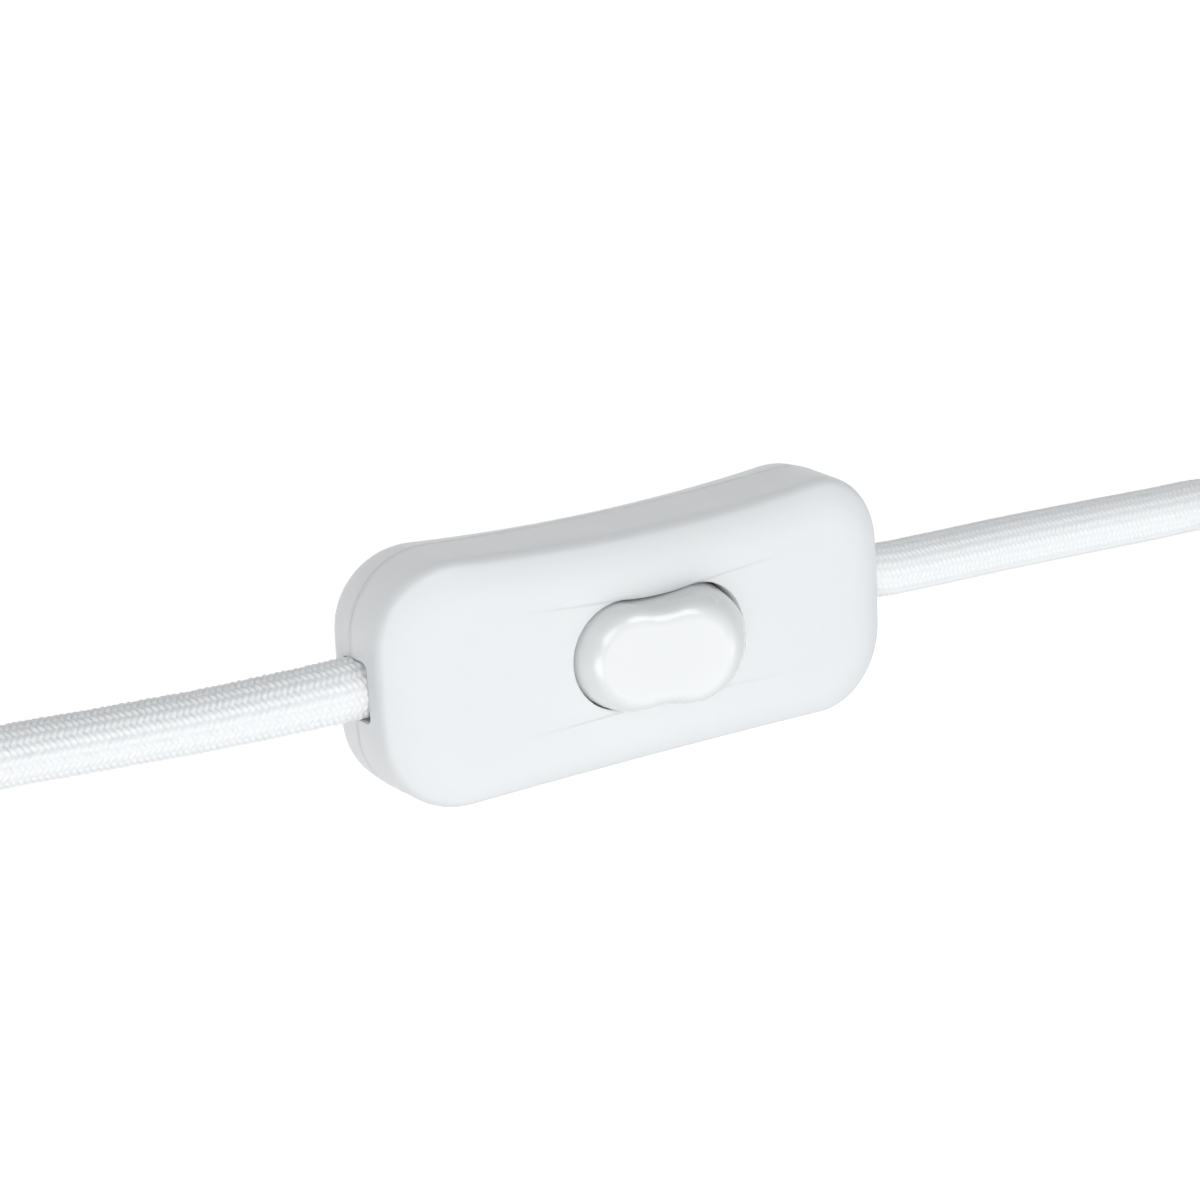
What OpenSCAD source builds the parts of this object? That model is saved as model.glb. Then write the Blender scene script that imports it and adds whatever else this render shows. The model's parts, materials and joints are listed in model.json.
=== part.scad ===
// In-line rocker switch on a round textile cord, with its plug and the bare lamp end.
// The body lies on its back: +X runs along it, +Z points out through the rocker.
// The origin is the centre of the flat back face.

/* [Body] */
// Length of the body
body_l = 64; // [63:0.5:66]
// Width of the body across its middle
waist_w = 26; // [25.5:0.5:27]
// How much wider the body is near its ends than in the middle
end_flare = 1.4; // [1:0.1:1.8]
// Radius of the body's four corners
corner_r = 8.9; // [8.5:0.1:9.2]
// Height of the front face at the body's ends, before it falls to its edge
end_h = 13.1; // [12.9:0.1:13.5]
// How far the front face rises in the middle
crown_h = 3.1; // [2.9:0.1:3.3]
// Height of the joint between the two covers, and of the cord's axis
split_z = 6.1; // [6:0.1:6.2]
// Rounding of the front edge
front_r = 1.4; // [1:0.1:2.4]
// Width of the band beside that edge over which the front face still rises
pillow_w = 5.5; // [4:0.1:5.6]
// Rounding of the back edge
back_r = 3.5; // [2.5:0.1:4]
// How far the back cover draws in at each side of its waist
back_waist = 1.4; // [0.8:0.1:1.6]
// Wall thickness of the covers
wall = 1.8; // [1.6:0.1:1.9]

/* [Rocker] */
// Length of the rocker's opening
opening_l = 21.6; // [21.2:0.1:22]
// Width of the opening across its middle
opening_w = 11.5; // [11.3:0.1:11.7]
// How much wider the opening is near its ends
opening_flare = 0.6; // [0.3:0.1:0.9]
// Gap between the rocker and its opening
rocker_gap = 0.3; // [0.25:0.05:0.35]
// Height of the rocker's top above the front face when level
rocker_rise = 4.5; // [4:0.1:4.6]
// Rounding of the rocker's top edge
rocker_edge_r = 2.2; // [1.8:0.1:2.4]
// Tilt of the rocker to each side
rocker_tilt = 16; // [12:0.5:16.5]

/* [Cord] */
// Diameter of the cord on the plug's side
cord_d_left = 6.8; // [6.6:0.1:6.9]
// Diameter of the cord on the lamp's side
cord_d_right = 6.2; // [6:0.1:6.4]

/* [Plug] */
// Width of the plug's body
plug_w = 35.3; // [34:0.1:35.5]
// Thickness of the plug's body
plug_h = 13.7; // [13:0.1:14]
// Length of the plug's body
plug_l = 36; // [35:0.5:37]
// Distance between the two pins
pin_pitch = 18.6; // [18:0.1:19]
// Diameter of the pins
pin_d = 4; // [4:0.1:4.1]

/* [Hidden] */
$fn = 48;
eps = 0.01;

// Body
end_bulge = 0.1;
front_draft = 0.2;
edge_turn = 66;
edge_steps = 3;
pillow_power = 3;
edge_drop = pillow_w / (pillow_power * tan(edge_turn));
edge_in = front_r * (1 - cos(edge_turn));
edge_z = end_h - edge_drop - front_r * sin(edge_turn);
mid_h = end_h + crown_h;
floor_z = wall;
lip_out = wall + 0.2;
lip_in = wall + 0.9;
lip_h = 1.2;
ring_steps = [2, 9, 5];
rocker_steps = [2, 7, 4];
fine_steps = [1, 6, 3];

// Rocker and its pivot
pivot_depth = 2.9;
pivot_z = mid_h - pivot_depth;
pin_r = 1.2;
pin_fit = 0.05;
lug_in = opening_w / 2 + 0.7;
lug_out = lug_in + 1.8;
opening_r = (opening_w + opening_flare) / 2 - 0.15;
opening_bulge = 0.1;
rocker_slim = 0.3;
rocker_bottom = -2.8;
rocker_top = pivot_depth + rocker_rise;
rocker_end_r = opening_l / 2 - 0.15;
rocker_wall = 1.9;
stem_r = 2.2;
stem_bore_r = 1.5;
stem_bottom = -5;
stem_bore_top = 3.6;
plunger_r = 1;

// Contacts
strip_t = 0.6;
seesaw_z = 3.7;
fulcrum_r = 0.8;
fulcrum_fit = 0.05;
plate_z = fulcrum_r + fulcrum_fit;
seesaw_tilt = 6;
seesaw_l = 15;
strip_w = 3.6;
tip_x = 6.3;
plunger_tip = pivot_z - seesaw_z - plate_z - strip_t - 0.12;
term = [6, 5, 5.2];
term_x = 13.5;
term_y = 3.6;
core_z = 4.4;
core_r = 1.1;
core_y = 1.4;
copper_r = 0.6;
screw_r = 1.25;
screw_l = 1.9;
neutral_y = -6.2;
neutral_w = 4.4;
neutral_l = 12;
neutral_x = 3.5;
fixed_tip_z = wall + 0.7;

// Cord clamps and cover screws
notch_w = 7;
notch_h = 3.5;
clamp_x = 26;
clamp_y = 5.6;
clamp_post_z = split_z + cord_d_right / 2 - 0.2;
clamp_t = 1.2;
clamp_w = 3.4;
clamp_post_r = 2;
clamp_screw_r = 1;
cover_screw = [19.5, 7.6];
cover_screw_r = 1.2;
cover_hole_r = 1.4;
boss_r = 2.4;
post_sink = 0.3;
cord_in = 23.5;

// Routes of the cords between the body and their hanks, and up to the plug
left_route = [
    [-23.5, 0, 6.1], [-28, 0, 6.1], [-32, 0, 6.1], [-36, 0, 6.1], [-40, 0, 5.9],
    [-45, -0.05, 5.4], [-50, -0.05, 4.9], [-54, 0.05, 4.5], [-60, 0.2, 4],
    [-66, 0.45, 3.6], [-72, 0.65, 3.4], [-78, 0.9, 3.4], [-84, 1.5, 3.5],
    [-90, 3.2, 3.6], [-96, 6.7, 3.8], [-99.9, 10.2, 3.9], [-103.8, 14, 4],
    [-109.8, 17.8, 4], [-115.8, 19.8, 4], [-121.8, 20.4, 4]
];
plug_route = [
    [-121.8, 20.4, 24.4], [-126.8, 20.1, 24.4], [-131.8, 19.3, 24.6],
    [-136.8, 17.9, 24.9], [-141.8, 15.9, 25.3], [-146.4, 13.4, 25.7],
    [-150.9, 10.2, 26.1], [-155.4, 7.1, 26.6], [-160, 4.5, 27], [-165, 2.5, 27.4],
    [-170, 1.1, 27.6], [-175, 0.3, 27.8], [-180, 0, 27.85]
];
right_route = [
    [23.5, 0, 6.1], [28, 0, 6.1], [32, -0.4, 6.1], [36.5, -1.05, 6.05],
    [42, -1.4, 5.6], [48, -1.75, 5], [54, -2.1, 4.3], [60, -2.45, 3.8],
    [66, -2.8, 3.4], [73, -3.1, 3.25], [80, -3.4, 3.2], [88, -3.7, 3.25],
    [92.5, -5.2, 3.3], [96.5, -8.8, 3.5], [100.5, -13, 3.6], [105.5, -17, 3.7],
    [113, -18.6, 3.7]
];

// Hanks: centres of the two round ends, radius of the fold, height of the first layer
strap_t = 0.6;
left_fold = 20.4;
left_ends = [-209.8, -121.8];
left_layers = 3;
right_fold = 18.6;
right_ends = [113, 171];
right_layers = 2;
plug_z = strap_t + left_layers * cord_d_left + plug_h / 2;
plug_x = -205;
relief_l = 25;
pin_l = 19;
pin_core_r = 1.4;
sleeve_l = 10;
sleeve_r = 1.75;
tie_left = [-200, 8];
tie_right = [165, 6];
collar = [[164, 18.6, 16.6], [151, 18.6, 18.3]];
tail_end = [119, 2.1, 20.3];
ferrule_l = 8;
ferrule_r = 0.9;

// Points of an arc round c from angle a0 to a1, in n steps, without its last point
function arc(c, r, a0, a1, n) =
    [for (i = [0:n - 1]) let (a = a0 + (a1 - a0) * i / n) c + r * [cos(a), sin(a)]];

// Outline of a bar with bowed ends, round corners and waisted sides, counter-clockwise
// from [l / 2, 0]. inset moves every arc inwards; steps are the ends', corners' and sides'.
function waisted(l, w, flare, r, bulge, inset = 0, steps = ring_steps) =
    let (
        cx = l / 2 - r - bulge,
        cy = (w + flare) / 2 - r,
        end_r = (pow(r + bulge, 2) - r * r + cy * cy) / (2 * bulge),
        side_r = (cx * cx + pow(w / 2 - cy, 2) - r * r) / (2 * (r - w / 2 + cy)),
        end_c = [l / 2 - end_r, 0],
        side_c = [0, w / 2 + side_r],
        a1 = atan2(cy, cx - end_c[0]),
        a2 = atan2(side_c[1] - cy, -cx),
        quarter = concat(
            arc(end_c, end_r - inset, 0, a1, steps[0]),
            arc([cx, cy], r - inset, a1, a2, steps[1]),
            arc(side_c, side_r + inset, a2 - 180, -90, steps[2]),
            [[0, w / 2 - inset]]),
        m = len(quarter) - 1,
        upper = concat(quarter, [for (i = [m - 1:-1:0]) [-quarter[i][0], quarter[i][1]]]))
    concat(upper, [for (i = [2 * m - 1:-1:1]) [upper[i][0], -upper[i][1]]]);

// 1 in the middle of the body, 0 at its ends
function middle(x) = 1 - pow(2 * x / body_l, 2);

// Ring of the front cover at height z, crowned in step with its height
function front_ring(z, inset, steps = ring_steps) =
    let (share = max(0, (z - split_z) / (end_h - split_z)))
    [for (p = waisted(body_l, waist_w, end_flare, corner_r, end_bulge,
            inset + front_draft * share, steps))
        [p[0], p[1], z + share * crown_h * middle(p[0])]];

// Ring of the back cover at height z, drawn in at the waist towards the back
function back_ring(z, inset, steps = ring_steps) =
    let (share = max(0, (split_z - z) / split_z))
    [for (p = waisted(body_l, waist_w, end_flare, corner_r, end_bulge, inset, steps))
        let (side = sign(p[1]) * min(abs(p[1]) / 4, 1))
        [p[0], p[1] - side * share * back_waist * middle(p[0]), z]];

// Solid between stacked rings, bottom first. Each ring is symmetric about the X axis,
// so its caps are strips across it.
module loft(rings) {
    n = len(rings[0]);
    h = n / 2;
    top = (len(rings) - 1) * n;
    sides = [for (k = [0:len(rings) - 2], i = [0:n - 1])
        let (a = k * n + i, b = k * n + (i + 1) % n)
        each [[a, a + n, b + n], [a, b + n, b]]];
    strip = concat([[0, 1, n - 1], [h - 1, h, h + 1]],
        [for (i = [1:h - 2]) each [[i, i + 1, n - i - 1], [i, n - i - 1, n - i]]]);
    polyhedron(
        points = [for (ring = rings) each ring],
        faces = concat(sides, strip, [for (f = strip) [f[2] + top, f[1] + top, f[0] + top]]));
}

// Tube swept along a route, with rings square to it
module tube(route, r, sides = 8) {
    last = len(route) - 1;
    rings = [for (i = [0:last])
        let (
            t = route[min(i + 1, last)] - route[max(i - 1, 0)],
            u = cross([0, 0, 1], t) / norm(cross([0, 0, 1], t)),
            v = cross(t, u) / norm(cross(t, u)))
        each [for (k = [0:sides - 1])
            let (a = 360 * k / sides) route[i] + r * (cos(a) * v - sin(a) * u)]];
    skin = [for (i = [0:last - 1], k = [0:sides - 1])
        let (a = i * sides + k, b = i * sides + (k + 1) % sides)
        each [[a, a + sides, b + sides], [a, b + sides, b]]];
    polyhedron(
        points = rings,
        faces = concat(skin,
            [[for (k = [0:sides - 1]) k]],
            [[for (k = [sides - 1:-1:0]) last * sides + k]]));
}

// Outline with two round ends on the X axis, at x0 and x1
module stadium(x0, x1, r) {
    for (x = [x0, x1]) translate([x, 0]) circle(r);
    translate([x0, -r]) square([x1 - x0, 2 * r]);
}

// Cylinder along +X, cone along +X, and cylinder centred along Y
module rod_x(r, l) { rotate([0, 90, 0]) cylinder(r = r, h = l); }
module cone_x(r1, r2, l) { rotate([0, 90, 0]) cylinder(r1 = r1, r2 = r2, h = l); }
module rod_y(r, l) { rotate([90, 0, 0]) cylinder(r = r, h = l, center = true); }

// Slots for the cord through both end walls, open towards the joint
module notches(z0, h) {
    for (side = [-1, 1])
        translate([side * (body_l / 2 - 1) - 3, -notch_w / 2, z0]) cube([6, notch_w, h]);
}

// Outer shell: walls, the rounded edge as far as edge_turn, then a face that rises to its crown
module front_shell() {
    difference() {
        loft(concat(
            [front_ring(split_z, 0), front_ring(edge_z, 0)],
            [for (k = [1:edge_steps]) let (a = edge_turn * k / edge_steps)
                front_ring(edge_z + front_r * sin(a), front_r * (1 - cos(a)))],
            [for (s = [0.2:0.2:1]) front_ring(
                end_h - edge_drop * pow(1 - s, pillow_power), edge_in + pillow_w * s)]));
        loft([front_ring(split_z - 1, wall, fine_steps),
            front_ring(split_z + lip_h + 0.3, wall, fine_steps),
            front_ring(end_h - wall, wall + 0.6, fine_steps)]);
        translate([0, 0, split_z]) linear_extrude(mid_h)
            polygon(waisted(opening_l, opening_w, opening_flare, opening_r, opening_bulge));
        notches(split_z - 1, notch_h + 1);
    }
}

// Ears that hang inside the front cover beside the opening
module pivot_lugs() {
    for (y = [-lug_out, lug_in])
        translate([-2.6, y, pivot_z - 2.6]) cube([5.2, lug_out - lug_in, 4]);
}

module front_cover() {
    color("#f2f3f5") {
        difference() {
            union() {
                front_shell();
                pivot_lugs();
            }
            translate([0, 0, pivot_z]) rod_y(pin_r + pin_fit, 2 * lug_out + 0.2);
        }
        for (side = [-1, 1]) translate([side * cover_screw[0], side * cover_screw[1], 0])
            difference() {
                translate([0, 0, split_z + 0.2]) cylinder(r = boss_r, h = 7);
                cylinder(r = cover_screw_r, h = 11.5);
            }
    }
}

module back_shell() {
    difference() {
        union() {
            loft(concat(
                [for (a = [90:-15:0]) back_ring(back_r * (1 - sin(a)), back_r * (1 - cos(a)))],
                [back_ring(split_z, 0)]));
            translate([0, 0, split_z - 0.5]) linear_extrude(lip_h + 0.5)
                polygon(waisted(body_l, waist_w, end_flare, corner_r, end_bulge, lip_out,
                    fine_steps));
        }
        loft([back_ring(floor_z, lip_in + 0.5, fine_steps), back_ring(split_z, lip_in, fine_steps)]);
        translate([0, 0, split_z - eps]) linear_extrude(4)
            polygon(waisted(body_l, waist_w, end_flare, corner_r, end_bulge, lip_in, fine_steps));
        notches(split_z, 3);
        for (side = [-1, 1]) translate([side * (body_l / 2 - 1) - 3, 0, split_z])
            rod_x(notch_w / 2, 6);
        // Countersunk holes for the cover screws
        for (side = [-1, 1]) translate([side * cover_screw[0], side * cover_screw[1], -eps]) {
            cylinder(r1 = 2 * cover_hole_r + 0.1, r2 = cover_hole_r, h = 1.5);
            cylinder(r = cover_hole_r, h = 4);
        }
    }
}

module back_cover() {
    color("#eef0f3") {
        back_shell();
        for (sx = [-1, 1], sy = [-1, 1]) translate([sx * clamp_x, sy * clamp_y, 0])
            difference() {
                translate([0, 0, floor_z - post_sink])
                    cylinder(r = clamp_post_r, h = clamp_post_z - floor_z + post_sink);
                translate([0, 0, floor_z]) cylinder(r = clamp_screw_r, h = 9);
            }
        for (side = [-1, 1]) translate([side * cover_screw[0], side * cover_screw[1], 0])
            difference() {
                translate([0, 0, floor_z - post_sink])
                    cylinder(r = boss_r, h = split_z - floor_z + post_sink);
                cylinder(r = cover_hole_r, h = 8);
            }
    }
}

// Places a piece in the rocker's own frame, tilted so that its +X end is up
module on_pivot() {
    translate([0, 0, pivot_z]) rotate([0, -rocker_tilt, 0]) children();
}

// Ring of the rocker at height z above its pivot. The end walls follow an arc round the
// pivot, so the rocker turns inside its opening with an even gap.
function rocker_ring(z, inset) =
    let (
        side = rocker_gap + rocker_slim + inset,
        half = min(opening_l / 2 - rocker_gap - inset,
            sqrt(pow(rocker_end_r, 2) - z * z) - 0.4 * inset))
    [for (p = waisted(2 * half, opening_w - 2 * side, opening_flare, opening_r - side,
            opening_bulge, 0, rocker_steps)) [p[0], p[1], z]];

module rocker() {
    wall_top = rocker_top - rocker_edge_r;
    color("#f4f3f1") on_pivot() {
        difference() {
            loft(concat(
                [for (z = [rocker_bottom, 1.8, 2.8, 3.7]) rocker_ring(z, 0)],
                [for (a = [0:15:90]) rocker_ring(
                    wall_top + rocker_edge_r * sin(a), rocker_edge_r * (1 - cos(a)))]));
            translate([0, 0, rocker_bottom - 1])
                linear_extrude(rocker_top - rocker_wall - rocker_bottom + 1)
                polygon(waisted(opening_l - 4, opening_w, opening_flare, opening_r - 1,
                    opening_bulge, rocker_slim + rocker_gap + rocker_wall - 0.6, fine_steps));
        }
        difference() {
            translate([0, 0, stem_bottom])
                cylinder(r = stem_r, h = rocker_top - rocker_wall + 0.3 - stem_bottom);
            translate([0, 0, stem_bottom - 1])
                cylinder(r = stem_bore_r, h = stem_bore_top - stem_bottom + 1);
        }
        for (side = [-1, 1]) translate([0, side * (lug_out + opening_w / 2 - 1.8) / 2, 0])
            rod_y(pin_r, lug_out - opening_w / 2 + 1.8);
    }
}

// Closed-end helix of round wire
module rocker_spring() {
    turns = 7;
    steps = 12;
    wire_r = 0.18;
    low = stem_bottom + 1.9;
    high = stem_bore_top - 0.25;
    color("silver") on_pivot()
        tube([for (i = [0:turns * steps]) let (a = 360 * i / steps)
            [1.15 * cos(a), 1.15 * sin(a), low + (high - low) * i / (turns * steps)]],
            wire_r, 5);
}

module plunger() {
    color("#c9a45c") on_pivot() {
        translate([0, 0, -plunger_tip + plunger_r]) sphere(plunger_r);
        translate([0, 0, -plunger_tip + plunger_r])
            cylinder(r = plunger_r, h = plunger_tip - plunger_r + stem_bottom + 0.8);
        translate([0, 0, stem_bottom + 0.8]) cylinder(r = stem_bore_r - 0.1, h = 0.8);
    }
}

// Places a piece in the seesaw's frame, with its +X end down on the fixed contact
module on_seesaw() {
    translate([0, 0, seesaw_z]) rotate([0, seesaw_tilt, 0]) children();
}

module seesaw_contact() {
    color("#c9a45c") on_seesaw() {
        difference() {
            translate([-seesaw_l / 2, -strip_w / 2, plate_z]) cube([seesaw_l, strip_w, strip_t]);
            translate([tip_x, 0, 0]) cylinder(r = 0.5, h = 3);
        }
        for (side = [-1, 1]) {
            translate([-1.2, side * 2.3 - 0.3, -0.35]) cube([2.4, 0.6, plate_z + strip_t + 0.35]);
            translate([-1.2, side * 1.95 - 0.2, plate_z]) cube([2.4, 0.4, strip_t]);
        }
    }
}

module moving_contact_tip() {
    color("silver") on_seesaw() translate([tip_x, 0, plate_z]) {
        translate([0, 0, -0.6]) cylinder(r = 1, h = 0.6);
        cylinder(r = 0.5, h = strip_t);
    }
}

module fixed_contact_tip() {
    color("silver") translate([tip_x, 0, fixed_tip_z]) cylinder(r = 1.1, h = 0.6);
}

// Pillar with a wire hole along X and a clamping screw hole from above
module pillar(size, screws) {
    difference() {
        translate([-size[0] / 2, -size[1] / 2, 0]) cube(size);
        translate([-size[0], 0, core_z - floor_z]) rod_x(1, 2 * size[0]);
        for (x = screws) translate([x, 0, core_z - floor_z]) cylinder(r = screw_r, h = 9);
    }
}

module line_terminal_in() {
    color("#c9a45c") translate([0, 0, floor_z]) {
        translate([-term_x, term_y, 0]) pillar(term, [0]);
        translate([-term_x + term[0] / 2 - eps, -strip_w / 2, 0])
            cube([term_x - term[0] / 2 + 1.5, strip_w, strip_t]);
        translate([-term_x - term[0] / 2, -strip_w / 2, 0]) cube([term[0], strip_w, strip_t]);
        translate([-fulcrum_r, -strip_w / 2, 0])
            cube([2 * fulcrum_r, strip_w, seesaw_z - floor_z]);
        translate([0, 0, seesaw_z - floor_z]) rod_y(fulcrum_r, strip_w);
    }
}

module line_terminal_out() {
    color("#c9a45c") translate([0, 0, floor_z]) {
        translate([term_x, term_y, 0]) pillar(term, [0]);
        translate([5, -strip_w / 2, 0])
            cube([term_x + term[0] / 2 - 5, strip_w, fixed_tip_z - floor_z]);
    }
}

module neutral_terminal() {
    color("#c9a45c") translate([0, neutral_y, floor_z])
        pillar([neutral_l, neutral_w, term[2]], [-neutral_x, neutral_x]);
}

// Pan-head screw with a slot; its origin is under the head
module screw(r, l, head_r, head_h) {
    translate([0, 0, -l]) cylinder(r = r, h = l);
    difference() {
        cylinder(r = head_r, h = head_h);
        translate([-head_r, -0.25, head_h - 0.5]) cube([2 * head_r, 0.5, 1]);
    }
}

module terminal_screws() {
    color("silver") translate([0, 0, floor_z + term[2]]) {
        for (side = [-1, 1]) {
            translate([side * term_x, term_y, 0]) screw(screw_r, screw_l, 2, 1.2);
            translate([side * neutral_x, neutral_y, 0]) screw(screw_r, screw_l, 2, 1.2);
        }
    }
}

// Height of the clamp's underside, which rests on the cord
function clamp_z(side) = split_z + (side < 0 ? cord_d_left : cord_d_right) / 2;

module cord_clamp(side) {
    color("#e8e8e6") translate([side * clamp_x, 0, clamp_z(side)]) difference() {
        translate([-clamp_w / 2, -clamp_y - 2.2, 0]) cube([clamp_w, 2 * clamp_y + 4.4, clamp_t]);
        for (y = [-clamp_y, clamp_y]) translate([0, y, -1]) cylinder(r = clamp_screw_r + 0.2, h = 4);
    }
}

module clamp_screws() {
    color("silver") for (sx = [-1, 1], sy = [-1, 1])
        translate([sx * clamp_x, sy * clamp_y, clamp_z(sx) + clamp_t])
            screw(clamp_screw_r, 6, 1.8, 0.8);
}

module cover_screws() {
    color("silver") for (side = [-1, 1])
        translate([side * cover_screw[0], side * cover_screw[1], 0]) difference() {
            union() {
                translate([0, 0, 0.1]) cylinder(r1 = 2.7, r2 = cover_screw_r, h = 1.5);
                translate([0, 0, 0.1]) cylinder(r = cover_screw_r, h = 9);
            }
            for (a = [0, 90]) rotate([0, 0, a]) translate([-1.6, -0.3, 0]) cube([3.2, 0.6, 0.8]);
        }
}

// Insulated core from the stripped end of the cord to a terminal
module core(side, y0, to_x, to_y, tint) {
    color(tint) tube([
        [side * cord_in, y0, split_z],
        [side * (cord_in - 2), y0, split_z],
        [side * (cord_in + to_x) / 2, (y0 + to_y) / 2, (split_z + core_z) / 2],
        [side * (to_x + 1.5), to_y, core_z],
        [side * to_x, to_y, core_z]], core_r);
}

module core_conductors() {
    color("#b87333") for (side = [-1, 1]) {
        translate([side * (term_x + 0.3) - 2.7, term_y, core_z]) rod_x(copper_r, 5.4);
        translate([side * 3.6 - 2.4, neutral_y, core_z]) rod_x(copper_r, 4.8);
    }
}

// Stack of folds lying round two ends, open in the middle
module folds(ends, fold, r, z0, h) {
    translate([0, 0, z0]) linear_extrude(h) difference() {
        stadium(ends[0], ends[1], fold + r);
        stadium(ends[0], ends[1], fold - r);
    }
}

// Half space beyond one end of a hank, to cut a fold off with
module beyond(x, side, z0, h) {
    translate([side < 0 ? x - 60 : x, -40, z0]) cube([60, 80, h]);
}

module cord_left() { color("#f4f5f7") tube(left_route, cord_d_left / 2); }

// The cord comes in under the fold nearest the switch, which starts on the second layer.
// One more near fold lies on top, where the cord turns back towards the plug.
module cord_left_hank() {
    d = cord_d_left;
    top = strap_t + left_layers * d;
    color("#f4f5f7") difference() {
        folds(left_ends, left_fold, d / 2, strap_t, (left_layers + 1) * d);
        beyond(left_ends[1], 1, 0, strap_t + d);
        translate([left_ends[0] - 40, -40, top]) cube([left_ends[1] - left_ends[0] + 40, 80, 20]);
    }
}

module cord_left_to_plug() { color("#f4f5f7") tube(plug_route, cord_d_left / 2); }

// Flat strap round a hank, from x0 over length l, inner size w by h
module tie(x0, l, w, h) {
    color("#dcdcdc") difference() {
        translate([x0, -w / 2 - strap_t, 0]) cube([l, w + 2 * strap_t, h + 2 * strap_t]);
        translate([x0 - 1, -w / 2, strap_t]) cube([l + 2, w, h]);
    }
}

module hank_tie_left() {
    tie(tie_left[0], tie_left[1], 2 * left_fold + cord_d_left, left_layers * cord_d_left + 0.5);
}

// Half width of the plug's body at a distance from its pin face
function plug_half(s) = plug_w / 2 - 9.5 * pow(s / plug_l, 2);

module plug_body() {
    steps = 6;
    color("#f2f2f2") translate([0, 0, plug_z]) difference() {
        hull() for (i = [0:steps]) let (s = 1.2 + (plug_l - 2.4) * i / steps)
            translate([plug_x - plug_l + s, 0, 0])
                for (y = [-1, 1]) translate([0, y * (plug_half(s) - plug_h / 2), 0])
                    sphere(r = plug_h / 2, $fn = 28);
        translate([plug_x - plug_l - 20, -30, -20]) cube([20, 60, 40]);
        translate([plug_x, -30, -20]) cube([20, 60, 40]);
        for (side = [-1, 1]) translate([plug_x - plug_l - 1, side * pin_pitch / 2, 0])
            rod_x(sleeve_r, 9);
    }
}

module plug_strain_relief() {
    color("#f2f2f2") translate([plug_x, 0, plug_z]) difference() {
        cone_x(5.6, 4.2, relief_l);
        for (i = [0:4]) translate([4 + 4 * i, 0, 0]) rotate([0, 90, 0]) difference() {
            cylinder(r = 8, h = 1.6);
            translate([0, 0, -1]) cylinder(r = 3.9, h = 4);
        }
    }
}

module plug_pins() {
    color("silver") for (side = [-1, 1])
        translate([plug_x - plug_l - pin_l, side * pin_pitch / 2, plug_z]) {
            translate([1, 0, 0]) rod_x(pin_d / 2, pin_l - sleeve_l - 1);
            cone_x(pin_d / 2 - 0.6, pin_d / 2, 1);
            translate([pin_l - sleeve_l, 0, 0]) rod_x(pin_core_r, sleeve_l + 8);
        }
}

module plug_pin_sleeves() {
    color("#2b2b2b") for (side = [-1, 1])
        translate([plug_x - plug_l - sleeve_l, side * pin_pitch / 2, plug_z]) difference() {
            rod_x(sleeve_r, sleeve_l + 8);
            translate([-1, 0, 0]) rod_x(pin_core_r, sleeve_l + 10);
        }
}

module cord_right() { color("#f4f5f7") tube(right_route, cord_d_right / 2); }

// The last layer stops after the far fold, where the cord's end lies on the hank
module cord_right_hank() {
    d = cord_d_right;
    top = strap_t + right_layers * d;
    color("#f4f5f7") difference() {
        folds(right_ends, right_fold, d / 2, strap_t, (right_layers + 1) * d);
        beyond(right_ends[0], -1, 0, strap_t + d);
        translate([right_ends[0], 0, top]) cube([51, 40, 20]);
    }
}

module hank_tie_right() {
    tie(tie_right[0], tie_right[1], 2 * right_fold + cord_d_right,
        (right_layers + 1) * cord_d_right + 0.4);
}

module cord_end_collar() { color("#e9e9e9") tube(collar, cord_d_right / 2 + 0.3, 12); }

// Bare core at the lamp's end, lying on the hank; the two spread apart towards their ferrules
module tail(side, tint) {
    y = collar[1][1];
    color(tint) tube([
        [151, y + side * 1.3, 18.3], [146, y + side * 1.5, 18.6],
        [140, y + side * 1.8, 18.9], [134, y + side * 2, 19.2],
        [128, y + side * tail_end[1], 19.8], [122, y + side * tail_end[1], tail_end[2]],
        [tail_end[0], y + side * tail_end[1], tail_end[2]]], core_r);
}

module wire_ferrules() {
    color("silver") for (side = [-1, 1])
        translate([tail_end[0] - ferrule_l, collar[1][1] + side * tail_end[1], tail_end[2]])
            rod_x(ferrule_r, ferrule_l);
}

front_cover();
back_cover();
rocker();
rocker_spring();
plunger();
seesaw_contact();
moving_contact_tip();
fixed_contact_tip();
line_terminal_in();
line_terminal_out();
neutral_terminal();
terminal_screws();
cord_clamp(-1);  // cord_clamp_left
cord_clamp(1);  // cord_clamp_right
clamp_screws();
cover_screws();
core(-1, core_y, term_x + term[0] / 2, term_y, "#6b3e23");  // brown_core_left
core(-1, -core_y, neutral_l / 2, neutral_y, "#2f6fb5");  // blue_core_left
core(1, core_y, term_x + term[0] / 2, term_y, "#6b3e23");  // brown_core_right
core(1, -core_y, neutral_l / 2, neutral_y, "#2f6fb5");  // blue_core_right
core_conductors();
cord_left();
cord_left_hank();
cord_left_to_plug();
hank_tie_left();
plug_body();
plug_strain_relief();
plug_pins();
plug_pin_sleeves();
cord_right();
cord_right_hank();
hank_tie_right();
cord_end_collar();
tail(1, "#6b3e23");  // brown_tail
tail(-1, "#2f6fb5");  // blue_tail
wire_ferrules();
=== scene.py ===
"""The looks of an in-line rocker cord switch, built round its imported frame.

Shapes are worked out in millimetres, in the frame of the CAD, and become metres in make_mesh().
"""
import json
import math

import bmesh
import bpy
import numpy as np
from mathutils import Matrix, Vector


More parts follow.
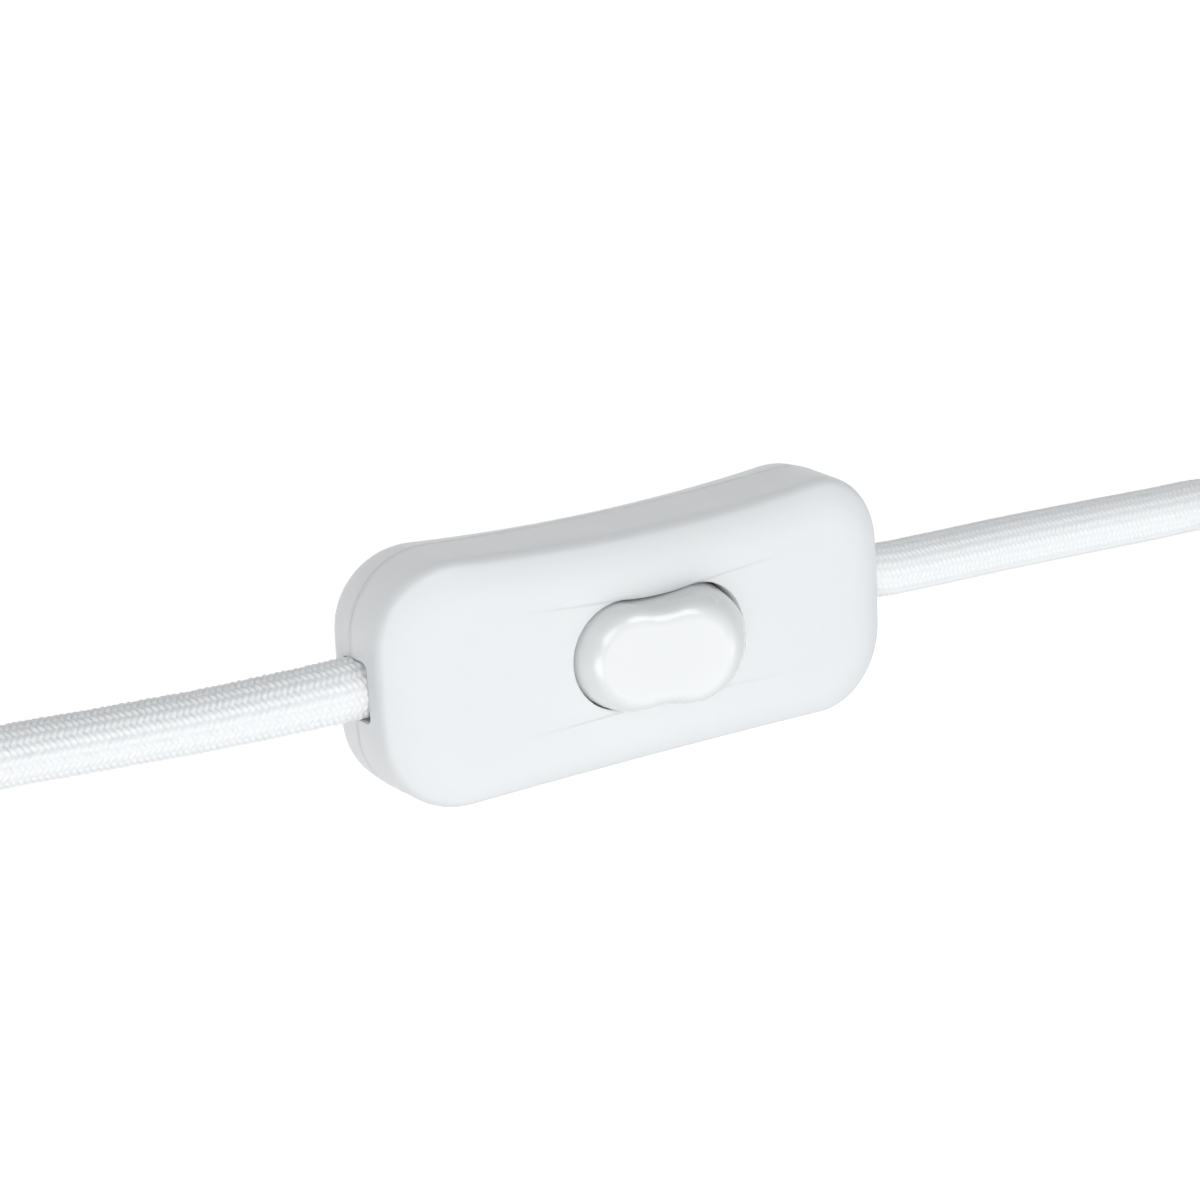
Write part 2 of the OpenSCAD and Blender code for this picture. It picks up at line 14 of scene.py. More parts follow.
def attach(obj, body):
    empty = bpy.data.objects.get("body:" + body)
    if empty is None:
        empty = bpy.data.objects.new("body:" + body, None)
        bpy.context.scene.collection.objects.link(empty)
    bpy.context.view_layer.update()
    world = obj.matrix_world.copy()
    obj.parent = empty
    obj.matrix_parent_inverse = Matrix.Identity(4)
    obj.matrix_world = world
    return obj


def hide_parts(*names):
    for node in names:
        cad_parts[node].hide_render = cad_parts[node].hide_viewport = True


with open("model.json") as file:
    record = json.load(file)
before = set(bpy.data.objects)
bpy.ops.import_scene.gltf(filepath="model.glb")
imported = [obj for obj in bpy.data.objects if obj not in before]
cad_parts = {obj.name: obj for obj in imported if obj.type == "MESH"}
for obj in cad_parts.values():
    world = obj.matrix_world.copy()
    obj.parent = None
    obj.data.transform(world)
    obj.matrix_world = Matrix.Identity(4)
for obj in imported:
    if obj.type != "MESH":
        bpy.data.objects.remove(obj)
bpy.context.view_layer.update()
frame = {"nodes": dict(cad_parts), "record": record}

MM = 0.001
# The floor lies just under the part, so that the two share no plane
FLOOR_Z = -0.05
# Revolved solids stop this far short of their axis
AXIS_R = 0.0001

# The switch's body, as in the CAD
BODY = dict(l=64, w=26, flare=1.4, r=8.9, bulge=0.1)
END_H = 13.1
CROWN_H = 3.1
SPLIT_Z = 6.1
FRONT_R = 1.4
BACK_R = 3.5
BACK_WAIST = 1.4
FRONT_DRAFT = 0.2
EDGE_TURN = math.radians(66)
PILLOW_W = 5.5
PILLOW_POWER = 3
EDGE_DROP = PILLOW_W / (PILLOW_POWER * math.tan(EDGE_TURN))
WALL = 1.8
LIP_H = 1.2
LIP_OUT = WALL + 0.2
LIP_IN = WALL + 0.9
NOTCH_W = 6.86
NOTCH_H = 3.4
SEAM = 0.05
SCREW_X = 19.5
SCREW_Y = 7.6
BOSS_R = 2.4
CLAMP_X = 26
CLAMP_Y = 5.6

# The rocker and its opening
OPENING = dict(l=21.6, w=11.5, flare=0.6, r=5.9, bulge=0.1)
OPENING_FILLET = 0.12
PIVOT_Z = 13.3
ROCKER_TILT = math.radians(16)
ROCKER_TOP = 7.4
ROCKER_BOTTOM = -2.8
ROCKER_EDGE_R = 2.2
ROCKER_END_R = 10.65
ROCKER_GAP = 0.3
ROCKER_SIDE_GAP = 0.15

# The cords: diameters, routes and hanks
CORD_D_LEFT = 6.8
CORD_D_RIGHT = 6.2
LEFT_ROUTE = [
    (-23.5, 0, 6.1), (-28, 0, 6.1), (-32, 0, 6.1), (-36, 0, 6.1), (-40, 0, 5.9),
    (-45, -0.05, 5.4), (-50, -0.05, 4.9), (-54, 0.05, 4.5), (-60, 0.2, 4),
    (-66, 0.45, 3.6), (-72, 0.65, 3.4), (-78, 0.9, 3.4), (-84, 1.5, 3.5),
    (-90, 3.2, 3.6), (-96, 6.7, 3.8), (-99.9, 10.2, 3.9), (-103.8, 14, 4),
    (-109.8, 17.8, 4), (-115.8, 19.8, 4),
]
PLUG_ROUTE = [
    (-126.8, 20.1, 24.4), (-131.8, 19.3, 24.6),
    (-136.8, 17.9, 24.9), (-141.8, 15.9, 25.3), (-146.4, 13.4, 25.7),
    (-150.9, 10.2, 26.1), (-155.4, 7.1, 26.6), (-160, 4.5, 27), (-165, 2.5, 27.4),
    (-170, 1.1, 27.6), (-175, 0.3, 27.8), (-180, 0, 27.85),
]
RIGHT_ROUTE = [
    (23.5, 0, 6.1), (28, 0, 6.1), (32, -0.4, 6.1), (36.5, -1.05, 6.05),
    (42, -1.4, 5.6), (48, -1.75, 5), (54, -2.1, 4.3), (60, -2.45, 3.8),
    (66, -2.8, 3.4), (73, -3.1, 3.25), (80, -3.4, 3.2), (88, -3.7, 3.25),
    (92.5, -5.2, 3.3), (96.5, -8.8, 3.5), (100.5, -13, 3.6), (105.5, -17, 3.7),
]
PATH_STEP = 0.25
STRAP_T = 0.6
BRAID_STITCH = 0.7
BRAID_SLANT = 0.6
BRAID_ROWS = 20
LEFT_HANK = dict(near=-121.8, far=-209.8, fold=20.4, layers=3)
RIGHT_HANK = dict(near=113.0, far=171.0, fold=18.6, layers=2)

# The plug and the lamp end
PLUG_X = -205.0
PLUG_L = 36.0
PLUG_W = 35.3
PLUG_H = 13.7
PLUG_Z = 27.85
RELIEF_L = 25.0
PIN_PITCH = 18.6
SLEEVE_R = 1.75
COLLAR = [(164, 18.6, 16.6), (157.5, 18.6, 17.45), (151, 18.6, 18.3)]
CORE_R = 1.1
# Points of each tail: along X, how far it lies beside the cord's line, and its height
TAIL = [(151, 1.3, 18.3), (146, 1.5, 18.6), (140, 1.8, 18.9), (134, 2, 19.2), (128, 2.1, 19.8),
        (122, 2.1, 20.3), (119, 2.1, 20.3)]


# ---------------------------------------------------------------- camera and stage

def make_camera():
    """The photograph's camera: yaw, pitch and roll round the body's centre, then a step back."""
    yaw, pitch, roll = (math.radians(angle) for angle in (30.45, 16.71, 3.64))
    turn = Matrix.Rotation(roll, 4, "Z") @ Matrix.Rotation(pitch, 4, "X") @ Matrix.Rotation(yaw, 4, "Y")
    data = bpy.data.cameras.new("camera")
    data.sensor_width = 36
    data.lens = 93.04
    data.clip_start = 0.01
    data.clip_end = 20
    camera = bpy.data.objects.new("camera", data)
    bpy.context.scene.collection.objects.link(camera)
    camera.matrix_world = (Matrix.Translation(Vector((-1.818, -1.466, -344.8)) * MM) @ turn).inverted()
    bpy.context.scene.camera = camera


def area_light(name, position, size, watts):
    """Round soft light aimed at the switch."""
    data = bpy.data.lights.new(name, "AREA")
    data.shape = "DISK"
    data.size = size
    data.energy = watts
    light = bpy.data.objects.new(name, data)
    light.location = position
    light.rotation_euler = (-Vector(position)).to_track_quat("-Z", "Y").to_euler()
    bpy.context.scene.collection.objects.link(light)
    return light


def make_world():
    """A pale dome, brightest overhead and a little towards -Y, cooler near the horizon."""
    world = bpy.data.worlds.new("world")
    bpy.context.scene.world = world
    world.use_nodes = True
    nodes, links = world.node_tree.nodes, world.node_tree.links
    height = nodes.new("ShaderNodeVectorMath")
    height.operation = "DOT_PRODUCT"
    height.inputs[1].default_value = (0, -0.22, 0.97)
    links.new(nodes.new("ShaderNodeTexCoord").outputs["Generated"], height.inputs[0])
    strength = nodes.new("ShaderNodeMapRange")
    strength.inputs["To Min"].default_value = 0.1
    strength.inputs["To Max"].default_value = 1.32
    links.new(height.outputs["Value"], strength.inputs["Value"])
    links.new(strength.outputs["Result"], nodes["Background"].inputs["Strength"])
    tint = nodes.new("ShaderNodeMix")
    tint.data_type = "RGBA"
    tint.inputs["A"].default_value = (0.86, 0.96, 1, 1)
    tint.inputs["B"].default_value = (1, 1, 1, 1)
    links.new(height.outputs["Value"], tint.inputs["Factor"])
    links.new(tint.outputs["Result"], nodes["Background"].inputs["Color"])


def make_stage():
    """A pale floor, a pale dome, a soft key light from above, and four lights that are seen only
    in the gloss."""
    floor = bpy.data.meshes.new("floor")
    half = 6.0
    corners = [(-half, -half), (half, -half), (half, half), (-half, half)]
    floor.from_pydata([(x, y, FLOOR_Z * MM) for x, y in corners], [], [(0, 1, 2, 3)])
    plane = bpy.data.objects.new("floor", floor)
    bpy.context.scene.collection.objects.link(plane)
    floor.materials.append(floor_material())

    make_world()
    area_light("key", (-0.45, -0.05, 1.08), 1.1, 3.2).visible_glossy = False
    for name, position, size, watts in (
            ("rim_back", (0.04, 0.86, 0.97), 0.7, 5.0),
            ("rim_left", (-1.1, -0.38, 0.6), 0.7, 4.0),
            ("rim_between", (-0.86, 0.54, 0.82), 0.7, 4.0),
            ("rim_right", (1.06, -0.37, 0.65), 0.5, 0.8)):
        area_light(name, position, size, watts).visible_diffuse = False
    bpy.context.scene.view_settings.view_transform = "Standard"


# ---------------------------------------------------------------- materials

class Graph:
    """Short calls for building a material's nodes."""

    def __init__(self, name):
        self.material = bpy.data.materials.new(name)
        self.material.use_nodes = True
        self.tree = self.material.node_tree
        self.shader = self.tree.nodes["Principled BSDF"]

    def node(self, kind, **settings):
        made = self.tree.nodes.new(kind)
        for key, value in settings.items():
            setattr(made, key, value)
        return made

    def link(self, source, target):
        self.tree.links.new(source, target)

    def feed(self, value, socket):
        if isinstance(value, bpy.types.NodeSocket):
            self.link(value, socket)
        else:
            socket.default_value = value

    def math(self, operation, a, b=0.0):
        made = self.node("ShaderNodeMath", operation=operation)
        self.feed(a, made.inputs[0])
        self.feed(b, made.inputs[1])
        return made.outputs[0]

    def noise(self, scale, detail=3.0, roughness=0.5, vector=None):
        made = self.node("ShaderNodeTexNoise")
        made.inputs["Scale"].default_value = scale
        made.inputs["Detail"].default_value = detail
        made.inputs["Roughness"].default_value = roughness
        self.link(vector or self.position(), made.inputs["Vector"])
        return made.outputs["Fac"]

    def position(self):
        return self.node("ShaderNodeTexCoord").outputs["Object"]

    def ramp(self, value, low, high, start, end):
        made = self.node("ShaderNodeMapRange", clamp=True)
        self.link(value, made.inputs["Value"])
        ends = {"From Min": start, "From Max": end, "To Min": low, "To Max": high}
        for socket, number in ends.items():
            made.inputs[socket].default_value = number
        return made.outputs["Result"]

    def blend(self, value, dark, light):
        made = self.node("ShaderNodeMix", data_type="RGBA")
        self.feed(value, made.inputs["Factor"])
        made.inputs["A"].default_value = (*dark, 1)
        made.inputs["B"].default_value = (*light, 1)
        return made.outputs["Result"]

    def bump(self, height, distance, strength, under=None):
        made = self.node("ShaderNodeBump")
        made.inputs["Distance"].default_value = distance
        self.feed(strength, made.inputs["Strength"])
        self.link(height, made.inputs["Height"])
        if under is not None:
            self.link(under, made.inputs["Normal"])
        return made.outputs["Normal"]

    def set(self, **values):
        for key, value in values.items():
            self.feed(value, self.shader.inputs[key.replace("_", " ")])


def floor_material():
    """Pale backlit sheet: it glows most towards anyone looking down on it."""
    g = Graph("floor")
    g.set(Base_Color=g.blend(g.noise(3.0), (0.19, 0.19, 0.193), (0.22, 0.22, 0.223)), Roughness=0.9)
    facing = g.node("ShaderNodeLayerWeight").outputs["Facing"]
    g.shader.inputs["Emission Color"].default_value = (1, 1, 1, 1)
    g.set(Emission_Strength=g.ramp(facing, 0.9, 0.25, 0.32, 0.7))
    g.shader.inputs["Specular IOR Level"].default_value = 0.1
    return g.material


def moulded_plastic(name, dark, light, roughness, grain=0.02, coat=0.0, depth=0.0):
    """Injection-moulded plastic: faint flow variation, fine tool grain, a few polished patches.
    grain is the depth of the tool marks and depth the reach of light under the skin, in mm."""
    g = Graph(name)
    g.set(Base_Color=g.blend(g.noise(45.0, 4.0), dark, light))
    g.set(Roughness=g.ramp(g.noise(160.0, 5.0, 0.6), roughness - 0.05, roughness + 0.06, 0.3, 0.7))
    fine = g.bump(g.noise(5200.0, 2.0, 0.6), grain * MM, 0.5)
    wave = g.bump(g.noise(110.0, 2.0), 2.0 * grain * MM, 0.35, fine)
    g.set(Normal=wave)
    g.shader.inputs["IOR"].default_value = 1.48
    g.shader.inputs["Coat Weight"].default_value = coat
    g.shader.inputs["Subsurface Weight"].default_value = 0.5 if depth else 0.0
    g.shader.inputs["Subsurface Radius"].default_value = (1.0, 0.95, 0.9)
    g.shader.inputs["Subsurface Scale"].default_value = depth * MM
    g.shader.inputs["Coat Roughness"].default_value = 0.12
    return g.material


def rubbed_metal(name, dark, light, roughness, stretch=(1, 1, 14)):
    """Bare metal with slight tarnish and fine drawn lines, which lie closest together along the
    axis where stretch is largest."""
    g = Graph(name)
    mapping = g.node("ShaderNodeMapping")
    mapping.inputs["Scale"].default_value = stretch
    g.link(g.position(), mapping.inputs["Vector"])
    lines = g.noise(900.0, 4.0, 0.6, mapping.outputs["Vector"])
    g.set(Base_Color=g.blend(g.noise(240.0, 4.0), dark, light))
    g.set(Roughness=g.ramp(lines, roughness - 0.08, roughness + 0.1, 0.3, 0.7))
    g.set(Normal=g.bump(lines, 0.01 * MM, 0.5))
    g.shader.inputs["Metallic"].default_value = 1.0
    return g.material


def extruded_skin(name, dark, light):
    """Smooth extruded insulation with faint length-wise die lines."""
    g = Graph(name)
    mapping = g.node("ShaderNodeMapping")
    mapping.inputs["Scale"].default_value = (0.05, 1, 1)
    g.link(g.position(), mapping.inputs["Vector"])
    lines = g.noise(1600.0, 2.0, 0.5, mapping.outputs["Vector"])
    g.set(Base_Color=g.blend(g.noise(120.0), dark, light))
    g.set(Roughness=g.ramp(lines, 0.34, 0.48, 0.3, 0.7))
    g.set(Normal=g.bump(lines, 0.015 * MM, 0.4))
    return g.material


def braid_material(name, relief):
    """Braided textile. The UV map holds millimetres along the cord and stitch rows round it."""
    g = Graph(name)
    uv = g.node("ShaderNodeUVMap", uv_map="braid")
    split = g.node("ShaderNodeSeparateXYZ")
    g.link(uv.outputs["UV"], split.inputs["Vector"])
    along, row = split.outputs["X"], split.outputs["Y"]
    across = g.math("SUBTRACT", g.math("FRACT", row), 0.5)
    parity = g.math("MODULO", g.math("FLOOR", row), 2.0)
    sign = g.math("SUBTRACT", 1.0, g.math("MULTIPLY", parity, 2.0))
    lean = g.math("MULTIPLY", g.math("MULTIPLY", sign, across), BRAID_SLANT)
    leaning = g.math("ADD", g.math("DIVIDE", along, BRAID_STITCH), lean)
    phase = g.math("ADD", leaning, g.math("DIVIDE", sign, 4.0))
    bead = g.math("ABSOLUTE", g.math("SINE", g.math("MULTIPLY", phase, math.pi)))
    rib = g.math("ABSOLUTE", g.math("COSINE", g.math("MULTIPLY", across, math.pi)))
    crown = g.math("ADD", 0.3, g.math("MULTIPLY", rib, 0.7))
    height = g.math("MULTIPLY", g.math("POWER", bead, 0.7), crown)
    fibre_map = g.node("ShaderNodeMapping")
    fibre_map.inputs["Scale"].default_value = (4.0, 9.0, 1.0)
    g.link(uv.outputs["UV"], fibre_map.inputs["Vector"])
    fibre = g.noise(3.0, 4.0, 0.65, fibre_map.outputs["Vector"])
    # Colour: painted shade darkens the valleys between the stitches, mixed with the fibres' own random tone
    valley_shade_and_fibre = g.math("ADD", g.math("MULTIPLY", height, 0.75), g.math("MULTIPLY", fibre, 0.25))
    valley_shade_and_fibre_tone = g.ramp(valley_shade_and_fibre, 0.0, 1.0, 0.1, 0.7)
    g.set(Base_Color=g.blend(valley_shade_and_fibre_tone, (0.86, 0.865, 0.88), (0.93, 0.93, 0.935)))
    g.set(Roughness=g.ramp(fibre, 0.72, 0.9, 0.3, 0.7))
    coarse = g.node("ShaderNodeAttribute", attribute_name="coarse").outputs["Fac"]
    weave = g.bump(height, relief * MM, coarse)
    g.set(Normal=g.bump(fibre, 0.05 * MM, 0.5, weave))
    g.shader.inputs["Sheen Weight"].default_value = 0.4
    g.shader.inputs["Sheen Roughness"].default_value = 0.4
    g.shader.inputs["Specular IOR Level"].default_value = 0.25
    return g.material


def woven_strap(name):
    """Narrow woven strap, with its ribs across the strap's length."""
    g = Graph(name)
    wave = g.node("ShaderNodeTexWave", bands_direction="DIAGONAL")
    wave.inputs["Scale"].default_value = 700.0
    wave.inputs["Distortion"].default_value = 1.5
    g.link(g.position(), wave.inputs["Vector"])
    # Colour follows the ribs: painted shade darkens the grooves between them
    g.set(Base_Color=g.blend(wave.outputs["Fac"], (0.55, 0.55, 0.56), (0.72, 0.72, 0.73)), Roughness=0.8)
    g.set(Normal=g.bump(wave.outputs["Fac"], 0.06 * MM, 0.7))
    return g.material


# Each slot: its maker and the looks that it is made with
MAKERS = {
    "white_shell": (moulded_plastic, (0.806, 0.811, 0.819), (0.834, 0.838, 0.845), 0.42, 0.02, 0.0, 1.0),
    "white_rocker": (moulded_plastic, (0.845, 0.845, 0.845), (0.865, 0.864, 0.862), 0.22, 0.008, 0.4, 3.0),
    "inner_plastic": (moulded_plastic, (0.6, 0.6, 0.57), (0.68, 0.68, 0.65), 0.5),
    "spring_steel": (rubbed_metal, (0.4, 0.4, 0.4), (0.58, 0.58, 0.58), 0.28),
    "brass": (rubbed_metal, (0.58, 0.4, 0.16), (0.76, 0.56, 0.26), 0.3),
    "contact_silver": (rubbed_metal, (0.72, 0.72, 0.7), (0.86, 0.86, 0.84), 0.22),
    "zinc_steel": (rubbed_metal, (0.5, 0.52, 0.55), (0.68, 0.7, 0.72), 0.3),
    "copper": (rubbed_metal, (0.55, 0.24, 0.12), (0.76, 0.4, 0.24), 0.3, (14, 1, 1)),
    "brown_insulation": (extruded_skin, (0.13, 0.05, 0.02), (0.18, 0.075, 0.035)),
    "blue_insulation": (extruded_skin, (0.03, 0.13, 0.4), (0.045, 0.18, 0.5)),
    "white_braid": (braid_material, 0.16),
    "tie_plastic": (woven_strap,),
    "plug_plastic": (moulded_plastic, (0.74, 0.745, 0.745), (0.79, 0.793, 0.79), 0.42, 0.035),
    "pin_nickel": (rubbed_metal, (0.6, 0.58, 0.54), (0.76, 0.74, 0.7), 0.2, (14, 1, 1)),
    "sleeve_plastic": (moulded_plastic, (0.02, 0.02, 0.02), (0.035, 0.035, 0.035), 0.4),
    "collar_sleeve": (moulded_plastic, (0.66, 0.67, 0.68), (0.72, 0.73, 0.74), 0.5, 0.03),
}
MATERIALS = {slot: maker(slot, *looks) for slot, (maker, *looks) in MAKERS.items()}


# ---------------------------------------------------------------- mesh helpers

def make_mesh(name, points, faces, sharp_angle=None):
    """Mesh object from points in millimetres, with smooth shading up to sharp_angle degrees."""
    mesh = bpy.data.meshes.new(name)
    mesh.from_pydata((np.asarray(points, dtype=float) * MM).tolist(), [], faces)
    piece = bpy.data.objects.new(name, mesh)
    bpy.context.scene.collection.objects.link(piece)
    work = bmesh.new()
    work.from_mesh(mesh)
    bmesh.ops.recalc_face_normals(work, faces=work.faces)
    work.to_mesh(mesh)
    work.free()
    mark_sharp(piece, sharp_angle)
    return piece


def mark_sharp(piece, angle):
    """Smooth shading, broken at edges that turn by more than angle degrees."""
    work = bmesh.new()
    work.from_mesh(piece.data)
    for face in work.faces:
        face.smooth = True
    for edge in work.edges:
        if angle is not None and len(edge.link_faces) == 2:
            edge.smooth = edge.calc_face_angle(0) < math.radians(angle)
    work.to_mesh(piece.data)
    work.free()


def finish_piece(piece, slot, body, *nodes):
    """Gives a piece its material and slot, and lets it ride on its body in place of its nodes."""
    piece.data.materials.clear()
    piece.data.materials.append(MATERIALS[slot])
    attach(piece, body)
    if nodes:
        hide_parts(*nodes)
    return piece


def loft(rings, capped=True):
    """Points and faces through rings of equal size. An open loft is capped by strips, for rings
    that start on the X axis and are symmetric about it; a closed one joins last to first."""
    rings = [np.asarray(ring, dtype=float) for ring in rings]
    n = len(rings[0])
    points = np.concatenate(rings)
    faces = []
    for k in range(len(rings) - 1 if capped else len(rings)):
        low, high = k * n, (k + 1) % len(rings) * n
        faces += [(low + i, low + (i + 1) % n, high + (i + 1) % n, high + i) for i in range(n)]
    if capped:
        last = (len(rings) - 1) * n
        half = n // 2
        for base in (0, last):
            faces += [(base, base + 1, base + n - 1), (base + half - 1, base + half, base + half + 1)]
            faces += [(base + i, base + i + 1, base + n - i - 1, base + n - i) for i in range(1, half - 1)]
    return points, faces


def revolve(profile, n=48):
    """Points and faces of a closed (radius, height) profile turned round Z."""
    rings = []
    for i in range(n):
        a = 2 * math.pi * i / n
        rings.append([(r * math.cos(a), r * math.sin(a), z) for r, z in profile])
    return loft(rings, capped=False)


def join(*solids):
    """One set of points and faces from several."""
    points, faces, base = [], [], 0
    for some_points, some_faces in solids:
        points.append(np.asarray(some_points, dtype=float))
        faces += [tuple(i + base for i in face) for face in some_faces]
        base += len(some_points)
    return np.concatenate(points), faces


def moved(solid, x=0.0, y=0.0, z=0.0, turn=None):
    """A solid turned by a 3x3 matrix and then moved."""
    points, faces = solid
    points = np.asarray(points, dtype=float)
    if turn is not None:
        points = points @ np.array(turn).T
    return points + np.array([x, y, z]), faces


def solid_box(low, high):
    """Box between two corners."""
    (x0, y0, z0), (x1, y1, z1) = low, high
    points = [(x, y, z) for z in (z0, z1) for x, y in ((x0, y0), (x1, y0), (x1, y1), (x0, y1))]
    return points, [(3, 2, 1, 0), (4, 5, 6, 7), (0, 1, 5, 4), (1, 2, 6, 5), (2, 3, 7, 6), (3, 0, 4, 7)]


ALONG_X = Matrix.Rotation(math.radians(90), 3, "Y")
ALONG_Y = Matrix.Rotation(math.radians(-90), 3, "X")


def rod(r, length, n=40):
    """Cylinder from z = 0 up to length."""
    return revolve([(AXIS_R, 0), (r, 0), (r, length), (AXIS_R, length)], n)


def cut(piece, *cutters):
    """Takes solids away from a piece."""
    for solid in cutters:
        tool = make_mesh("cutter", *solid)
        modifier = piece.modifiers.new("cut", "BOOLEAN")
        modifier.operation = "DIFFERENCE"
        modifier.solver = "EXACT"
        modifier.object = tool
        bpy.context.view_layer.update()
        evaluated = piece.evaluated_get(bpy.context.evaluated_depsgraph_get())
        result = bpy.data.meshes.new_from_object(evaluated)
        piece.modifiers.clear()
        piece.data = result
        bpy.data.objects.remove(tool)


# ---------------------------------------------------------------- outlines

def arc(centre, r, a0, a1, n):
    """n points round centre from angle a0 towards a1, without the last."""
    angles = a0 + (a1 - a0) * np.arange(n) / n
    return np.column_stack([centre[0] + r * np.cos(angles), centre[1] + r * np.sin(angles)])


def waisted(l, w, flare, r, bulge, inset=0.0, steps=(8, 36, 26)):
    """Outline of a bar with bowed ends, round corners and waisted sides, from (l / 2, 0)."""
    cx, cy = l / 2 - r - bulge, (w + flare) / 2 - r
    end_r = ((r + bulge) ** 2 - r * r + cy * cy) / (2 * bulge)
    side_r = (cx * cx + (w / 2 - cy) ** 2 - r * r) / (2 * (r - w / 2 + cy))
    end_c, side_c = (l / 2 - end_r, 0.0), (0.0, w / 2 + side_r)
    a1 = math.atan2(cy, cx - end_c[0])
    a2 = math.atan2(side_c[1] - cy, -cx)
    quarter = np.concatenate([
        arc(end_c, end_r - inset, 0, a1, steps[0]),
        arc((cx, cy), r - inset, a1, a2, steps[1]),
        arc(side_c, side_r + inset, a2 - math.pi, -math.pi / 2, steps[2]),
        [(0, w / 2 - inset)]])
    upper = np.concatenate([quarter, quarter[-2::-1] * (-1, 1)])
    return np.concatenate([upper, upper[-2:0:-1] * (1, -1)])


def middle(x):
    """1 in the middle of the body, 0 at its ends."""
    return 1 - (2 * x / BODY["l"]) ** 2


def front_height(x, z):
    """Height of the crowned front where a level end-height surface would be at z."""
    share = np.maximum(0, (z - SPLIT_Z) / (END_H - SPLIT_Z))
    return z + share * CROWN_H * middle(x)


def front_ring(z, inset):
    """Ring of the front cover at end-height z: its draft and its crown grow with its height."""
    share = max(0, (z - SPLIT_Z) / (END_H - SPLIT_Z))
    flat = waisted(**BODY, inset=inset + FRONT_DRAFT * share)
    return np.column_stack([flat, front_height(flat[:, 0], z)])


def back_ring(z, inset):
    """Ring of the back cover at height z, drawn in at the waist towards the back."""
    share = max(0, (SPLIT_Z - z) / SPLIT_Z)
    flat = waisted(**BODY, inset=inset)
    side = np.sign(flat[:, 1]) * np.minimum(np.abs(flat[:, 1]) / 4, 1)
    flat[:, 1] -= side * share * BACK_WAIST * middle(flat[:, 0])
    return np.column_stack([flat, np.full(len(flat), z)])


def blend_rings(a, b, n):
    """n rings from a towards b, without b."""
    return [a + (b - a) * k / n for k in range(n)]


# ---------------------------------------------------------------- the switch

def notch(side):
    """Slot for the cord through one end of the front cover, its upper corners slightly round."""
    r, half = 1.0, NOTCH_W / 2
    outline = [(half, SPLIT_Z - 3)]
    for y, start in ((half - r, 0.0), (r - half, math.pi / 2)):
        angles = [start + i * math.pi / 10 for i in range(6)]
        outline += [(y + r * math.cos(a), SPLIT_Z + NOTCH_H - r + r * math.sin(a)) for a in angles]
    outline.append((-half, SPLIT_Z - 3))
    rings = [[(side * x, y, z) for y, z in outline] for x in (28.5, 36)]
    n = len(outline)
    points = np.array(rings[0] + rings[1])
    faces = [(i, (i + 1) % n, n + (i + 1) % n, n + i) for i in range(n)]
    return points, faces + [tuple(range(n))[::-1], tuple(range(n, 2 * n))]


def make_front_cover():
    """The front shell: wall, rounded edge, crowned face, rounded opening and the underside."""
    top_z = END_H
    edge_z = top_z - EDGE_DROP - FRONT_R * math.sin(EDGE_TURN)
    edge_in = FRONT_R * (1 - math.cos(EDGE_TURN))
    rings = [front_ring(SPLIT_Z, SEAM), front_ring(SPLIT_Z + 0.4 * SEAM, 0.4 * SEAM)]
    rings += [front_ring(SPLIT_Z + SEAM + (edge_z - SPLIT_Z - SEAM) * k / 6, 0) for k in range(6)]
    rings += [front_ring(edge_z + FRONT_R * math.sin(a), FRONT_R * (1 - math.cos(a)))
              for a in np.linspace(0, EDGE_TURN, 13)]
    rings += [front_ring(top_z - EDGE_DROP * (1 - s) ** PILLOW_POWER, edge_in + PILLOW_W * s)
              for s in np.linspace(0, 1, 13)[1:]]

    def opening_ring(grow, depth):
        flat = waisted(**OPENING, inset=-grow)
        return np.column_stack([flat, front_height(flat[:, 0], top_z) - depth])

    rim = opening_ring(OPENING_FILLET, 0)
    face = blend_rings(rings[-1], rim, 26)[1:]
    for ring in face:
        ring[:, 2] = front_height(ring[:, 0], top_z)
    rings += face
    rings += [opening_ring(OPENING_FILLET * (1 - math.sin(a)), OPENING_FILLET * (1 - math.cos(a)))
              for a in np.linspace(0, math.pi / 2, 6)]
    ceiling_z = top_z - WALL
    below = waisted(**OPENING)
    rings.append(np.column_stack([below, front_height(below[:, 0], ceiling_z)]))
    wall_top = front_ring(ceiling_z, WALL + 0.6)
    inner = blend_rings(rings[-1], wall_top, 8)[1:]
    for ring in inner:
        ring[:, 2] = front_height(ring[:, 0], ceiling_z)
    rings += inner + [wall_top, front_ring(SPLIT_Z + LIP_H + 0.3, WALL), front_ring(SPLIT_Z, WALL)]
    shell = make_mesh("front_shell", *loft(rings, capped=False))
    cut(shell, notch(-1), notch(1))
    mark_sharp(shell, 38)
    finish_piece(shell, "white_shell", "housing", "front_cover")

    fittings = []
    for side in (-1, 1):
        boss = revolve([(1.2, 0), (BOSS_R, 0), (BOSS_R, 7), (1.2, 7)])
        fittings.append(moved(boss, side * SCREW_X, side * SCREW_Y, SPLIT_Z + 0.2))
        y = 7.35 * side
        fittings.append(solid_box((-2.6, y - 0.9, PIVOT_Z - 2.6), (2.6, y + 0.9, PIVOT_Z + 0.9)))
    ears = make_mesh("front_cover_ears_and_bosses", *join(*fittings))
    cut(ears, moved(rod(1.25, 20), 0, -10, PIVOT_Z, ALONG_Y))
    mark_sharp(ears, 38)
    finish_piece(ears, "white_shell", "housing")


